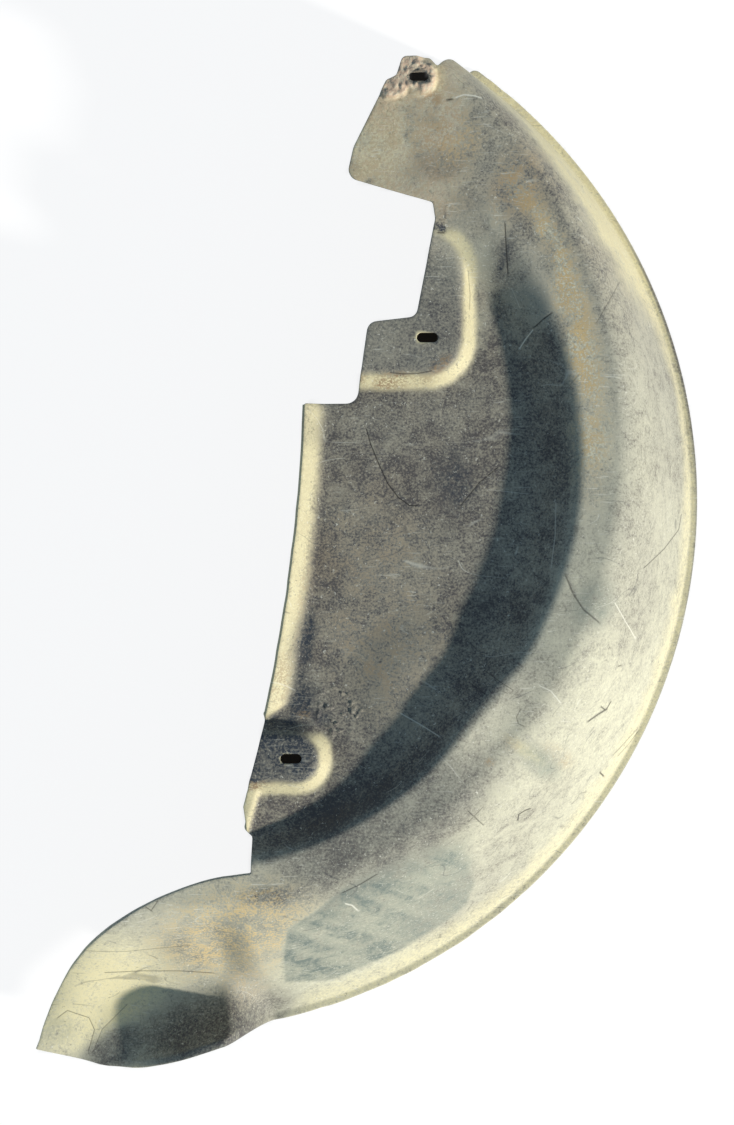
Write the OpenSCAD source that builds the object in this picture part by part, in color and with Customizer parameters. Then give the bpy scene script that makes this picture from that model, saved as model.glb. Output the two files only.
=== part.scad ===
// Wheel arch liner, one moulded sheet of black polypropylene.
// It lies on its rim, hump up. X and Y are measured from the wheel axis, Z from
// the rim plane, and the finished shape is then moved to the middle of its own base.

/* [Sheet] */
// Thickness of the moulded sheet
wall_t = 2.5; // [1.6:0.1:4]
// Radius of the rim's outer edge about the wheel axis
rim_r = 371; // [340:1:420]
// Width of the flat flange along the rim
rim_w = 5; // [3:0.5:10]

/* [Hump] */
// Height of the hump's crest above the rim plane
crest_h = 130; // [110:1:180]
// Radius of the crest's outer edge, where the flank starts to fall
crest_r = 298; // [280:1:310]
// Offset of the crest's outer edge from the wheel axis, towards the upper end
crest_dy = 35; // [15:1:45]
// Share of the flank's width that is straight, from the rim up
flank_share = 0.52; // [0.3:0.01:0.65]
// How far the crest has sunk where the tail begins
crest_drop = 20; // [5:1:35]

/* [Panel] */
// Depth of the panel below the crest
panel_depth = 22; // [14:1:34]
// Least width of the level crest, between the flank and the panel's round wall
crest_w = 54; // [45:1:65]
// Width of the panel's round wall in plan
well_wall = 36; // [24:1:44]
// Offset of the panel's round wall from the wheel axis, outwards
well_dx = 35; // [25:1:40]
// Offset of the panel's round wall from the wheel axis, towards the upper end
well_dy = 23; // [15:1:30]
// Length of the slope from the panel up to the upper tab
ramp_l = 72; // [50:1:90]

/* [Screw seats] */
// Height of the raised seats above the panel
seat_h = 10; // [6:0.5:14]
// Width of the sloping wall round a raised seat
seat_wall = 9.5; // [6:0.5:13]
// Length of a screw slot
slot_l = 13.5; // [9:0.5:18]
// Width of a screw slot
slot_w = 6.2; // [4:0.1:8]
// Height of the small boss round the upper slot
boss_h = 5; // [3:0.5:8]
// Radius of the boss's flat top
boss_r = 9; // [8:0.5:12]

/* [Inner edge] */
// Width of the upturned lip along the inner edge
lip_w = 12.5; // [8:0.5:16]
// Height of the lip above the panel
lip_h = 9; // [5:0.5:9.5]
// Radius of the inner edge, a long shallow arc
edge_r = 1120; // [900:10:1600]

/* [Tail] */
// Height of the tail's hollow above the rim plane, next to the hump
hollow_h = 44; // [30:1:60]
// Height of the tail's hollow above the rim plane, at the tip
tip_h = 30; // [20:1:40]
// Height of the tail's upturned edge above its hollow
scoop_h = 26; // [10:1:34]
// How far the tail's edge swings out past the rim's circle
scoop_out = 22; // [10:1:30]
// Radius of the tail's long outer curve
tail_r = 168; // [150:1:190]

/* [Hidden] */

panel_z = crest_h - panel_depth;
well_r = crest_r - crest_w;
// Lowest point of the tail's edge in plan
low_y = -386.4;
seat_z = panel_z + seat_h;
flank_r = rim_r - rim_w;
well = [well_dx, well_dy];
// How far a cutting shape reaches past what it cuts
over = 30;

// Directions about the wheel axis, in degrees, from +X towards the upper end
first_a = -105;
last_a = 69;
end_a = 54.6;
tail_a = -78;
tail_turn_a = 5;
swing_a = 15;
lip_end_a = -97;
// Columns of the sheet: every three degrees, and closer together where the tail begins
angles = concat([for (a = [first_a : 3 : -87]) a], [for (a = [-85 : 1 : -77]) a],
    [for (a = [-75 : 3 : last_a]) a]);
columns = len(angles) - 1;

// Where the crest starts to sink, and the tail's root
sink_y = -100;
root_y = -255;
// Where the slope to the upper tab begins
ramp_y = 118;

function lerp(a, b, t) = a + (b - a) * t;
function clamp01(t) = min(1, max(0, t));
function ease(t) = let (c = clamp01(t)) c * c * (3 - 2 * c);
function unit(v) = v / norm(v);

// Height of the crest above the rim plane: level, then a parabola down to the tail
function crest_z(y) = crest_h - crest_drop * pow(max(0, sink_y - y) / (sink_y - root_y), 2);

// Height of the panel, which rises to the crest at the upper tab
function panel_at(y) = lerp(panel_z, crest_h, ease((y - ramp_y) / ramp_l));

// Share of the crest height at share q of the flank: straight, then a parabola
flank_rate = 2 / (1 + flank_share);
function flank_rise(q) = q < flank_share
    ? flank_rate * q
    : 1 - flank_rate * pow(1 - q, 2) / (2 * (1 - flank_share));

// Height across the tail: down from the crest into a hollow, then up to its edge
hollow_q = 0.3;
function hollow_at(a) = lerp(hollow_h, tip_h, clamp01((tail_a - a) / (tail_a - first_a)));
function scoop_at(a) = scoop_h * ease((a - lip_end_a) / (tail_a - tail_turn_a - lip_end_a));
function tail_rise(q, a, top) = q > hollow_q
    ? lerp(hollow_at(a), top, ease((q - hollow_q) / (1 - hollow_q)))
    : hollow_at(a) + scoop_at(a) * pow(1 - q / hollow_q, 2);

// One where the section is the tail's, nought where it is the hump's
function tail_share(a) = ease((tail_a - a) / tail_turn_a);
function tail_edge(a) = flank_r - rim_w + scoop_out * ease((tail_a - 2 - a) / swing_a);
function edge_at(a) = lerp(flank_r, tail_edge(a), tail_share(a));

// The section's stations, from the rim inwards. Each gives a point at direction a.
function around(c, r, a) = c + r * [cos(a), sin(a)];
function flank_xy(q, a) = around([0, lerp(0, crest_dy, q)], lerp(edge_at(a), crest_r, q), a);
function flank_z(q, a) =
    let (top = crest_z(flank_xy(q, a).y))
    lerp(wall_t + (top - wall_t) * flank_rise(q), tail_rise(q, a, crest_z(flank_xy(1, a).y)),
         tail_share(a));
function flank_pt(q, a) = let (p = flank_xy(q, a)) [p.x, p.y, flank_z(q, a)];
function rim_pt(a) = let (p = around([0, 0], edge_at(a) + rim_w, a)) [p.x, p.y, flank_z(0, a)];
function crest_pt(s, a) =
    let (p = lerp(flank_xy(1, a), around(well, well_r, a), s)) [p.x, p.y, crest_z(p.y)];
function wall_pt(s, a) =
    let (p = around(well, well_r - well_wall * s, a))
    [p.x, p.y, lerp(crest_z(p.y), panel_at(p.y), ease(s))];
function panel_pt(r, a) = let (p = around(well, r, a)) [p.x, p.y, panel_at(p.y)];

foot_r = well_r - well_wall;
// Radius of the panel's innermost row of points, which lies inside the inner edge
inner_r = 50;
// Lowest point of the panel's level floor, near which the lip ends
floor_y = well_dy - foot_r;
flank_qs = [0, 0.03, 0.27, flank_share, 0.63, 0.74, 0.84, 0.93, 1];
wall_ss = [0, 0.16, 0.32, 0.5, 0.68, 0.84, 1];
panel_rs = [for (s = [0.12, 0.28, 0.45, 0.65, 1]) lerp(foot_r, inner_r, s)];
function column(a) = concat(
    [rim_pt(a)],
    [for (q = flank_qs) flank_pt(q, a)],
    [crest_pt(0.5, a)],
    [for (s = wall_ss) wall_pt(s, a)],
    [for (r = panel_rs) panel_pt(r, a)]);

// Outer skin, one column of points for each direction
skin = [for (a = angles) column(a)];
stations = len(skin[0]);

// Square to the skin at a point. The flange stays level, so it lies flat when at rest.
function square_to(j, k) = k < 2 ? [0, 0, 1] :
    let (along = skin[min(columns, j + 1)][k] - skin[max(0, j - 1)][k],
         across = skin[j][min(stations - 1, k + 1)] - skin[j][k == 2 ? 2 : k - 1])
    unit(cross(along, across));

// The skin that lies a depth t below the outer one
function skin_below(t) = [for (j = [0 : columns]) [for (k = [0 : stations - 1])
    skin[j][k] - t * square_to(j, k)]];

// Closed solid between two skins
module between(upper, lower) {
    n = (columns + 1) * stations;
    top = [for (c = upper) for (p = c) p];
    bottom = [for (c = lower) for (p = c) p];
    function id(j, k) = j * stations + k;
    skins = [for (j = [0 : columns - 1]) for (k = [0 : stations - 2])
        each [[id(j, k), id(j, k + 1), id(j + 1, k)],
              [id(j + 1, k), id(j, k + 1), id(j + 1, k + 1)],
              [n + id(j, k), n + id(j + 1, k), n + id(j, k + 1)],
              [n + id(j + 1, k), n + id(j + 1, k + 1), n + id(j, k + 1)]]];
    ends = [for (k = [0 : stations - 2])
        each [[id(0, k), n + id(0, k), id(0, k + 1)],
              [id(0, k + 1), n + id(0, k), n + id(0, k + 1)],
              [id(columns, k), id(columns, k + 1), n + id(columns, k)],
              [id(columns, k + 1), n + id(columns, k + 1), n + id(columns, k)]]];
    m = stations - 1;
    sides = [for (j = [0 : columns - 1])
        each [[id(j, 0), id(j + 1, 0), n + id(j, 0)],
              [id(j + 1, 0), n + id(j + 1, 0), n + id(j, 0)],
              [id(j, m), n + id(j, m), id(j + 1, m)],
              [id(j + 1, m), n + id(j, m), n + id(j + 1, m)]]];
    polyhedron(points = concat(top, bottom), faces = concat(skins, ends, sides));
}

// The moulded sheet before its edges are trimmed
module sheet() between(skin, skin_below(wall_t));

// The space below the middle of its thickness
middle = skin_below(wall_t / 2);
module below() between(middle, [for (c = middle) [for (p = c) [p.x, p.y, -over]]]);

// Trimmed outline in plan. Each corner is a point and its rounding radius.
// The inner edge bulges out furthest here, so its arc's centre lies straight across
edge_far = [101, 98];
edge_c = [edge_far.x - edge_r, edge_far.y];
function edge_pt(y, inset = 0) =
    [edge_c.x + sqrt(pow(edge_r + inset, 2) - pow(y - edge_c.y, 2)), y];
tab_corners = [
    [188, 274, 1], [184.5, 269.5, 1.5], [179.5, 275, 3], [162.5, 275, 4],
    [158.5, 263, 2], [152, 260, 3], [131.5, 219, 20], [127, 200, 7],
    [181.5, 184, 2], [183, 174, 6]];
notch_y = 58.6;
notch_corners = [[171.5, 113.5, 6], [140.5, 109.5, 7], [133.5, notch_y, 8]];
root_start = -200;
foot_corners = [[62.7, -217, 2], [66, -220, 2], [65.5, -240, 5]];

// Points of the arc that rounds corner b, between its neighbours a and c
function rounded(a, b, c) =
    let (p = [b.x, b.y], u = unit([a.x, a.y] - p), v = unit([c.x, c.y] - p),
         half = acos(u * v) / 2, r = b[2], reach = r / tan(half),
         m = p + unit(u + v) * (r / sin(half)),
         s = p + u * reach - m, e = p + v * reach - m,
         turn = cross(s, e) > 0 ? 180 - 2 * half : 2 * half - 180)
    [for (i = [0 : 4]) let (w = turn * i / 4)
        m + [s.x * cos(w) - s.y * sin(w), s.x * sin(w) + s.y * cos(w)]];

// The tail's long outer curve, from the root round to the tip
tail_c = [80, -410];
tail_from_a = 95;
tail_to_a = 166;
tail_step_a = 5.5;
tail_tip = [-85, -374];
// The tail's straight end runs from its tip to its long edge, which it meets here
meet_a = -94.5;
tail_end = around([0, 0], edge_at(meet_a) + rim_w - 0.8, meet_a);
function tail_curve() =
    [for (w = [tail_from_a : tail_step_a : tail_to_a]) around(tail_c, tail_r, w)];

// The upper end is cut from the tab's shoulder to the rim at direction end_a
rim_end = around([0, 0], rim_r, end_a);
cut_start = rim_end + unit(rim_end - [tab_corners[0].x, tab_corners[0].y]) * over;

module outline() {
    corners = concat([[each cut_start, 0]], tab_corners,
        notch_corners, [[each edge_pt(notch_y), 1], [each edge_pt(0), 1]]);
    soft = [for (i = [1 : len(corners) - 2])
        each rounded(corners[i - 1], corners[i], corners[i + 1])];
    long_edge = [for (y = [40 : -20 : root_start]) edge_pt(y)];
    last = concat([[each edge_pt(root_start), 0]], foot_corners, [[each tail_curve()[0], 0]]);
    root = [for (i = [1 : len(last) - 2]) each rounded(last[i - 1], last[i], last[i + 1])];
    polygon(concat([cut_start], soft, long_edge, root, tail_curve(),
        [tail_tip, tail_end, tail_end - [0, 2 * over], [rim_r + over, -rim_r - 2 * over],
         [rim_r + over, cut_start.y]]));
}

module trim() translate([0, 0, -over]) linear_extrude(crest_h + 2 * over) outline();

// A raised seat: flat top and sloping walls, grown by g all round and reaching down to z0
module raised(x0, x1, y0, y1, r, top, z0, g) {
    slope = seat_wall / seat_h;
    module slab(z, w) translate([0, 0, z]) linear_extrude(0.01) {
        for (y = [y0 + r, y1 - r]) translate([x1 - r, y]) circle(r + w, $fn = 32);
        translate([x0, y0 - w]) square([r, y1 - y0 + 2 * w]);
    }
    hull() {
        slab(top - 0.01, g);
        slab(z0, g + (top - z0) * slope);
    }
}

// Seat sizes in plan: x0, x1, y0, y1, corner radius
mid_seat = [110, 200, 77.5, 164, 22];
low_seat = [40, 108, -182.5, -154.5, 13.9];
// Seats and boss reach down past the sheet and are trimmed to it, and are hollow below
seat_foot = panel_z - wall_t;
mid_slot = [178.5, 100];
low_slot = [91.5, -168.5];
top_slot = [172.5, 262];

module seat(s, g, top, z0) raised(s[0], s[1], s[2], s[3], s[4], top, z0, g);

// How much closer in a sloping wall's inner face lies, for its run over its rise
function shrink(slope) = wall_t * (sqrt(1 + slope * slope) - slope);
boss_slope = 0.6;

module boss(g, top, z0) translate([top_slot.x, top_slot.y, z0])
    cylinder(h = top - z0, r1 = boss_r + g + (top - z0) * boss_slope, r2 = boss_r + g, $fn = 48);

module slot(at) translate([at.x, at.y, 0]) linear_extrude(crest_h + over)
    union() {
        for (s = [-1, 1]) translate([s * (slot_l - slot_w) / 2, 0]) circle(d = slot_w, $fn = 32);
        square([slot_l - slot_w, slot_w], center = true);
    }

// A section carried along the inner edge, from y0 down to y1, as [inset, height] points
module along_edge(section, y0, y1) {
    n = ceil((y0 - y1) / 20);
    s = len(section);
    pts = [for (i = [0 : n]) let (y = lerp(y0, y1, i / n)) for (p = section)
        let (e = edge_pt(y, p[0])) [e.x, e.y, p[1]]];
    sides = [for (i = [0 : n - 1]) for (k = [0 : s - 1])
        each [[i * s + k, (i + 1) * s + k, i * s + (k + 1) % s],
              [(i + 1) * s + k, (i + 1) * s + (k + 1) % s, i * s + (k + 1) % s]]];
    caps = [[for (k = [0 : s - 1]) k], [for (k = [s - 1 : -1 : 0]) n * s + k]];
    polyhedron(points = pts, faces = concat(sides, caps));
}

// The lip climbs from the panel to the inner edge, and is trimmed with the sheet
lip_rise = lip_h / lip_w;
lip_t = wall_t * sqrt(1 + lip_rise * lip_rise);
lip_over = 1;
lip_foot = lip_w + 2;
lip_step = 0.3;
lip_top = panel_z + lip_h + lip_rise * lip_over;
lip_section = [
    [-lip_over, lip_top], [-lip_over, lip_top - lip_t],
    [lip_w + lip_t - wall_t, panel_z - wall_t - lip_step],
    [lip_foot, panel_z - wall_t - lip_step],
    [lip_foot, panel_z + lip_step], [lip_w, panel_z + lip_step]];
// The sheet is cut back under the lip, from beside the notch down to the lower seat
lip_cut = lip_w + 1;
lip_gap = [[-over, crest_h], [-over, 0], [lip_cut, 0], [lip_cut, crest_h]];
lip_top_y = notch_y + 4;
lip_low_y = floor_y + 27;

// Middle of the base, from the wheel axis
base = [(tail_tip.x + rim_r) / 2, (low_y + rim_r * sin(end_a)) / 2];

module trimmed_sheet() difference() {
    intersection() {
        sheet();
        trim();
    }
    along_edge(lip_gap, lip_top_y + over, lip_low_y);
}

// What is raised from the sheet, inside the outline and inside the rim
module raised_parts() intersection() {
    union() {
        difference() {
            union() {
                seat(mid_seat, 0, seat_z, seat_foot);
                seat(low_seat, 0, seat_z, seat_foot);
                boss(0, crest_h + boss_h, seat_foot);
            }
            below();
        }
        along_edge(lip_section, lip_top_y, lip_low_y);
    }
    trim();
    cylinder(h = crest_h + over, r = flank_r, $fn = 120);
}

module liner() color([0.33, 0.33, 0.3]) {
    translate([-base.x, -base.y, 0]) difference() {
        union() {
            trimmed_sheet();
            raised_parts();
        }
        for (s = [mid_seat, low_seat])
            seat(s, -shrink(seat_wall / seat_h), seat_z - wall_t, seat_foot - wall_t);
        boss(-shrink(boss_slope), crest_h + boss_h - wall_t, crest_h - 2 * wall_t);
        slot(mid_slot);
        slot(low_slot);
        slot(top_slot);
    }
}

liner();
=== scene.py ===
"""Wheel arch liner: the moulded sheet with its faded, dusty and scratched finish.

Sizes are worked out in millimetres from the wheel axis, as in the part's source, and
moved to the part's own frame, in metres, when the mesh is made.
"""

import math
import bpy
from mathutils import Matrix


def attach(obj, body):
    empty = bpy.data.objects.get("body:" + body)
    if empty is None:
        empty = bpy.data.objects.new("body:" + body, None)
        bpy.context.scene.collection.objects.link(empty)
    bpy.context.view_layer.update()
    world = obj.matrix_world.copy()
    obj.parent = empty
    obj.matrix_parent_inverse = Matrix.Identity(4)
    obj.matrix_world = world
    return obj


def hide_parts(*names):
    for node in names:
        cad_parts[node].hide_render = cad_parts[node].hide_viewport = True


bl_info = {
    "name": "Wheel arch liner",
    "version": (1, 0, 0),
    "blender": (4, 5, 0),
    "location": "View3D > Sidebar > Liner",
    "description": "Builds a moulded wheel arch liner with a dusty, worn finish",
    "category": "Add Mesh",
}

import bpy
import numpy as np
from mathutils import Vector, geometry

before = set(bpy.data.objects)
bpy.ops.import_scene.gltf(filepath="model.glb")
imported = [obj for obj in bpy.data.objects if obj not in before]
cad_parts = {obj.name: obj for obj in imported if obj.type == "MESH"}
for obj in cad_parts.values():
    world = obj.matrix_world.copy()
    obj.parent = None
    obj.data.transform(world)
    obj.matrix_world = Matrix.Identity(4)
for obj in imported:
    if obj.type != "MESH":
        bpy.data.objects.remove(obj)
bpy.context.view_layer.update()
# Where a lamp would hang straight above the liner, from the wheel axis: the floor's shade is
# worked out from it
LAMP_AT = np.array([140.0, -43.4])
LAMP_Z = 1300.0

MM = 0.001
# Squares along each side of the grid that value_noise repeats
CELLS = 64
# Middle of the part's base, from the wheel axis
BASE = np.array([143.0, -41.993])

# The liner's measures, in millimetres and degrees, as the part's source gives them
RIM_R = 371.0
RIM_W = 5.0
FLANGE_Z = 2.5
FLANK_R = RIM_R - RIM_W
CREST_H = 130.0
CREST_R = 298.0
CREST_DY = 35.0
FLANK_SHARE = 0.52
FLANK_RATE = 2 / (1 + FLANK_SHARE)
CREST_DROP = 20.0
PANEL_Z = 108.0
WELL = (35.0, 23.0)
WELL_R = 244.0
WELL_WALL = 36.0
# Along its lower stretch the wall is steeper and lies further out, and the panel dips
STEEP_WALL = 20.0
STEEP_Y = -110.0
WALL_OUT = 20.0
WALL_OUT_A = -47.0
DIP = 5.0
DIP_Y = -185.0
RAMP_Y = 118.0
RAMP_L = 72.0
SINK_Y = -100.0
ROOT_Y = -255.0
SEAT_H = 10.0
SEAT_WALL = 9.5
BOSS_H = 5.0
BOSS_R = 9.0
# The mud on the boss reaches its full height, and the plastic under it is lower
BOSS_BARE = 3.2
LIP_W = 12.5
LIP_H = 9.0
LIP_TOP_Y = 60.6
LIP_LOW_Y = -145.0
# The short raised strip of the inner edge below the lower seat: top, bottom, width, height
STRIP_TOP_Y = -187.0
STRIP_LOW_Y = -220.0
STRIP_W = 8.5
STRIP_H = 3.5
EDGE_R = 1120.0
EDGE_C = (-1019.0, 98.0)
TAIL_A = -78.0
TAIL_TURN = 5.0
SWING = 15.0
SCOOP_OUT = 22.0
SCOOP_H = 26.0
LIP_END_A = -97.0
FIRST_A = -105.0
HOLLOW_Q = 0.3
HOLLOW_H = 44.0
TIP_H = 30.0
END_A = 54.6
SLOT_L = 13.5
SLOT_W = 6.2
SLOTS = ((178.5, 100.0), (91.5, -168.5), (172.5, 262.0))
BOSS_AT = SLOTS[2]
# Seats in plan: x0, x1, y0, y1, corner radius
SEATS = ((110.0, 200.0, 77.5, 164.0, 22.0), (40.0, 108.0, -182.5, -154.5, 13.9))
TAIL_C = (80.0, -410.0)
TAIL_R = 168.0
# Directions that the tail's outer arc runs between, the tip that it ends at, and the line
# that its end is cut along
TAIL_ARC = (95, 167)
TAIL_TIP = (-84.9, -373.9)
TAIL_LOW_Y = -386.1
# The rim starts at the tip, and stops a little short of the upper end's corner, in degrees
RIM_START_A = -96.25
RIM_SHORT_A = 1.1
# The rim's outline stays this far inside its circle, so that its waves do too
RIM_IN = 0.15
# Top of the inner edge, and a place lower down that its top corner is rounded towards
EDGE_TOP_Y = 58.6
EDGE_LOW_Y = -150.0
# Corners of the outline with their radius, from the upper end through the tab and the stepped
# notch to the inner edge, and those between the inner edge and the tail
TAB_CORNERS = ((188, 274, 3), (184.5, 269.5, 1.5), (179.5, 275, 3), (162.5, 275, 4), (158.5, 263, 2),
               (152, 260, 3), (131.5, 219, 20), (127, 200, 7), (181.5, 184, 2), (183, 174, 6),
               (171.5, 113.5, 6), (140.5, 109.5, 7), (133.5, EDGE_TOP_Y, 8))
ROOT_CORNERS = ((62.7, -217, 2), (66, -220, 2), (65.5, -240, 5))

# A swelling and a dent of the used sheet: middle, half sizes, turn, height
DENTS = (((180, -124), (62, 58), 57, 4.5), ((242, -158), (62, 46), 50, -4.5))
TIP_CURL = 9.0

# The mesh: point spacing along the rings and from ring to ring down the flank, of the outer
# and of the inner skin, then the least gap between points and the rounding of the edges
OUTER_STEP = (1.75, 1.2)
INNER_STEP = (4.4, 3.0)
LEAST_GAP = 0.75
EDGE_ROUND = 0.45
# Points that are compared with a whole line at a time
BATCH = 4000
# Corners and point spacing of the patches with a finer mesh: x0, x1, y0, y1, spacing
PATCHES = ((145, 192, 246, 276, 0.8), (96, 146, -164, -112, 1.0))

# The floor: its reach, the square that has a finer grid, its spacing, its height and the
# width that the shade's edge fades over
FLOOR_FAR = 6000.0
FLOOR_X = (-120, 401)
FLOOR_Y = (-420, 381)
FLOOR_STEP = 4.0
FLOOR_Z = -0.5
SHADE_EDGE = 9.0

# Direction and height of the low sun, in degrees, and the place of the camera, in metres
SUN_TURN = -30.0
SUN_UP = 22.7
CAMERA_AT = (-0.003, -0.0014, 1.3)


def ease(t):
    """Nought to one along a curve that starts and ends level."""
    c = np.clip(t, 0, 1)
    return c * c * (3 - 2 * c)


def lerp(a, b, t):
    """Part of the way from a to b."""
    return a + (b - a) * t


def soft_max(a, b, k):
    """The greater of two heights, with the crease between them rounded over a width k."""
    h = np.clip(0.5 + 0.5 * (a - b) / k, 0, 1)
    return b + (a - b) * h + k * h * (1 - h)


def value_noise(x, y, size, seed):
    """Smooth random heights between -1 and 1: corners of a square grid of the given size
    get a random number each, blended between the corners by ease."""
    rng = np.random.default_rng(seed)
    table = rng.uniform(-1, 1, (CELLS, CELLS))
    u, v = x / size, y / size
    i, j = np.floor(u).astype(int), np.floor(v).astype(int)
    fu, fv = ease(u - i), ease(v - j)
    i0, j0, i1, j1 = i % CELLS, j % CELLS, (i + 1) % CELLS, (j + 1) % CELLS
    return lerp(lerp(table[i0, j0], table[i1, j0], fu), lerp(table[i0, j1], table[i1, j1], fu), fv)


def layered_noise(x, y, size, seed, layers=4):
    """Value noise at halving sizes and heights, turned a little from layer to layer."""
    total, weight = 0, 0
    for k in range(layers):
        c, s = math.cos(0.6 * k), math.sin(0.6 * k)
        total = total + value_noise(x * c - y * s, x * s + y * c, size / 2 ** k, seed + k) / 2 ** k
        weight += 1 / 2 ** k
    return total / weight


def blob(x, y, at, size, turn=0.0):
    """One at a point, falling to nought over an ellipse of the given half sizes."""
    c, s = math.cos(math.radians(turn)), math.sin(math.radians(turn))
    u = ((x - at[0]) * c + (y - at[1]) * s) / size[0]
    v = (-(x - at[0]) * s + (y - at[1]) * c) / size[1]
    return ease(1.3 * (1 - np.sqrt(u * u + v * v)))


def arc(at, radius, turn):
    """Points in plan about a middle, at directions in degrees."""
    w = np.radians(turn)
    return np.stack([at[0] + radius * np.cos(w), at[1] + radius * np.sin(w)], axis=-1)


def crest_z(y):
    """Crest height: level, then a parabola down to the tail."""
    return CREST_H - CREST_DROP * (np.maximum(0, SINK_Y - y) / (SINK_Y - ROOT_Y)) ** 2


def panel_z(y):
    """Panel height, which rises to the crest at the upper tab."""
    return lerp(PANEL_Z, CREST_H, ease((y - RAMP_Y) / RAMP_L)) - DIP * ease((DIP_Y - y) / 40)


def well_depth(x, y):
    """Distance inside the top edge of the panel's round wall."""
    dx, dy = x - WELL[0], y - WELL[1]
    turn = np.degrees(np.arctan2(dy, dx))
    return WELL_R + WALL_OUT * np.clip((WALL_OUT_A - turn) / 35, 0, 1) - np.hypot(dx, dy)


def tail_share(a):
    """Nought along the rim, and one once the tail has begun."""
    return ease((TAIL_A - a) / TAIL_TURN)


def edge_radius(a):
    """Radius of the flank's foot at direction a: the rim's circle, which swings out
    along the tail."""
    tail = FLANK_R - RIM_W + SCOOP_OUT * ease((TAIL_A - 2 - a) / SWING)
    return lerp(FLANK_R, tail, tail_share(a))


def flank_share(x, y):
    """How far a point lies across the flank, nought at its foot and one at the crest, with
    its direction. The circles between foot and crest move their centre along Y as they
    shrink, so the share is found by repeated substitution."""
    q = np.zeros_like(x)
    for _ in range(26):
        dy = y - CREST_DY * q
        a = np.degrees(np.arctan2(dy, x))
        edge = edge_radius(a)
        q = np.clip((edge - np.hypot(x, dy)) / (edge - CREST_R), -0.4, 6)
    return q, a


def sheet_z(x, y):
    """Height of the moulded sheet's outer face, without its seats and lip."""
    q, a = flank_share(x, y)
    inside = np.clip(q, 0, 1)
    top = crest_z(y)
    rise = np.where(inside < FLANK_SHARE, FLANK_RATE * inside,
                    1 - FLANK_RATE * (1 - inside) ** 2 / (2 * (1 - FLANK_SHARE)))
    hump = FLANGE_Z + (top - FLANGE_Z) * rise
    hollow = lerp(HOLLOW_H, TIP_H, np.clip((TAIL_A - a) / (TAIL_A - FIRST_A), 0, 1))
    scoop = SCOOP_H * ease((a - LIP_END_A) / (TAIL_A - TAIL_TURN - LIP_END_A))
    tail = np.where(inside > HOLLOW_Q,
                    lerp(hollow, top, ease((inside - HOLLOW_Q) / (1 - HOLLOW_Q))),
                    hollow + scoop * (1 - inside / HOLLOW_Q) ** 2)
    z = lerp(hump, tail, tail_share(a))
    wall = lerp(WELL_WALL, STEEP_WALL, ease((STEEP_Y - y) / 90))
    sunk = lerp(crest_z(y), panel_z(y), ease(well_depth(x, y) / wall))
    return np.where(q >= 1, sunk, z), q, a


def seat_distance(x, y, seat):
    """Distance outside a seat's flat top, a rectangle with rounded ends on its right."""
    x0, x1, y0, y1, r = seat
    u = np.maximum(x - (x1 - r), 0)
    v = np.abs(y - (y0 + y1) / 2) - ((y1 - y0) / 2 - r)
    return np.hypot(u, np.maximum(v, 0)) - r


def slot_distance(x, y, at):
    """Distance from the middle line of a screw slot."""
    along = np.maximum(np.abs(x - at[0]) - (SLOT_L - SLOT_W) / 2, 0)
    return np.hypot(along, y - at[1])


def edge_inset(x, y):
    """Distance in from the long shallow arc of the inner edge."""
    return np.hypot(x - EDGE_C[0], y - EDGE_C[1]) - EDGE_R


def lip_end(inset):
    """Where the lip ends above the lower seat, along a slanting line."""
    return LIP_LOW_Y + 0.8 * np.clip(inset, 0, LIP_W)


def foot_strip(y, inset):
    """One on the short raised strip of the inner edge below the lower seat."""
    return ease((STRIP_W - inset) / 3) * ease((y - STRIP_LOW_Y) / 5) * ease((STRIP_TOP_Y - y) / 5)


def liner_z(x, y):
    """Height of the whole outer face: the sheet with its seats, its boss and its lip. Each
    of these is a slope that runs on down below the sheet, and the greater height counts."""
    z, q, a = sheet_z(x, y)
    for seat in SEATS:
        d = seat_distance(x, y, seat)
        raised = PANEL_Z + SEAT_H * (1 - soft_max(d / SEAT_WALL, 0, 0.3))
        z = soft_max(z, raised, 1.8)
    inset = edge_inset(x, y)
    on_lip = ease((LIP_TOP_Y - y) / 2) * ease((y - lip_end(inset)) / 4)
    lip = PANEL_Z + LIP_H * np.minimum(1 - inset / LIP_W, 1.1)
    z = lerp(z, soft_max(z, lip, 2.0), on_lip)
    z = z + STRIP_H * foot_strip(y, inset)
    d = np.hypot(x - BOSS_AT[0], y - BOSS_AT[1]) - BOSS_R
    boss = CREST_H + BOSS_BARE * (1 - soft_max(d / 3, 0, 0.35))
    z = np.where(d < 6, soft_max(z, boss, 0.9), z)
    return z, q, a, inset


def warped_z(x, y):
    """The outer face with the slight waves and dents of a used sheet, and crusted mud
    round the upper slot. The rim's flange stays level."""
    z = liner_z(x, y)[0]
    loose = ease((z - 5) / 25)
    waves = 0.9 * layered_noise(x, y, 90, 11, 2) + 0.35 * layered_noise(x, y, 22, 17, 2)
    crust = mud_crust(x, y)
    clods = np.abs(layered_noise(x, y, 4.5, 23, 3))
    z = z + loose * waves * (1 - 0.8 * crust) + crust * (0.5 + 2.4 * clods) + 1.1 * crumbs(x, y)
    z = z + TIP_CURL * ease((-17 - x + 0.66 * (y + 333)) / 50) * ease((-250 - y) / 60)
    for at, size, turn, height in DENTS:
        z = z + height * blob(x, y, at, size, turn)
    caked = CREST_H + (BOSS_BARE + 1.4) * crust + 1.8 * clods - 1.1
    z = np.where(crust > 0.2, np.maximum(z, caked), z)
    return np.minimum(z, CREST_H + BOSS_H - 0.1 - 0.3 * np.abs(value_noise(x, y, 2.2, 29)))


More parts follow.
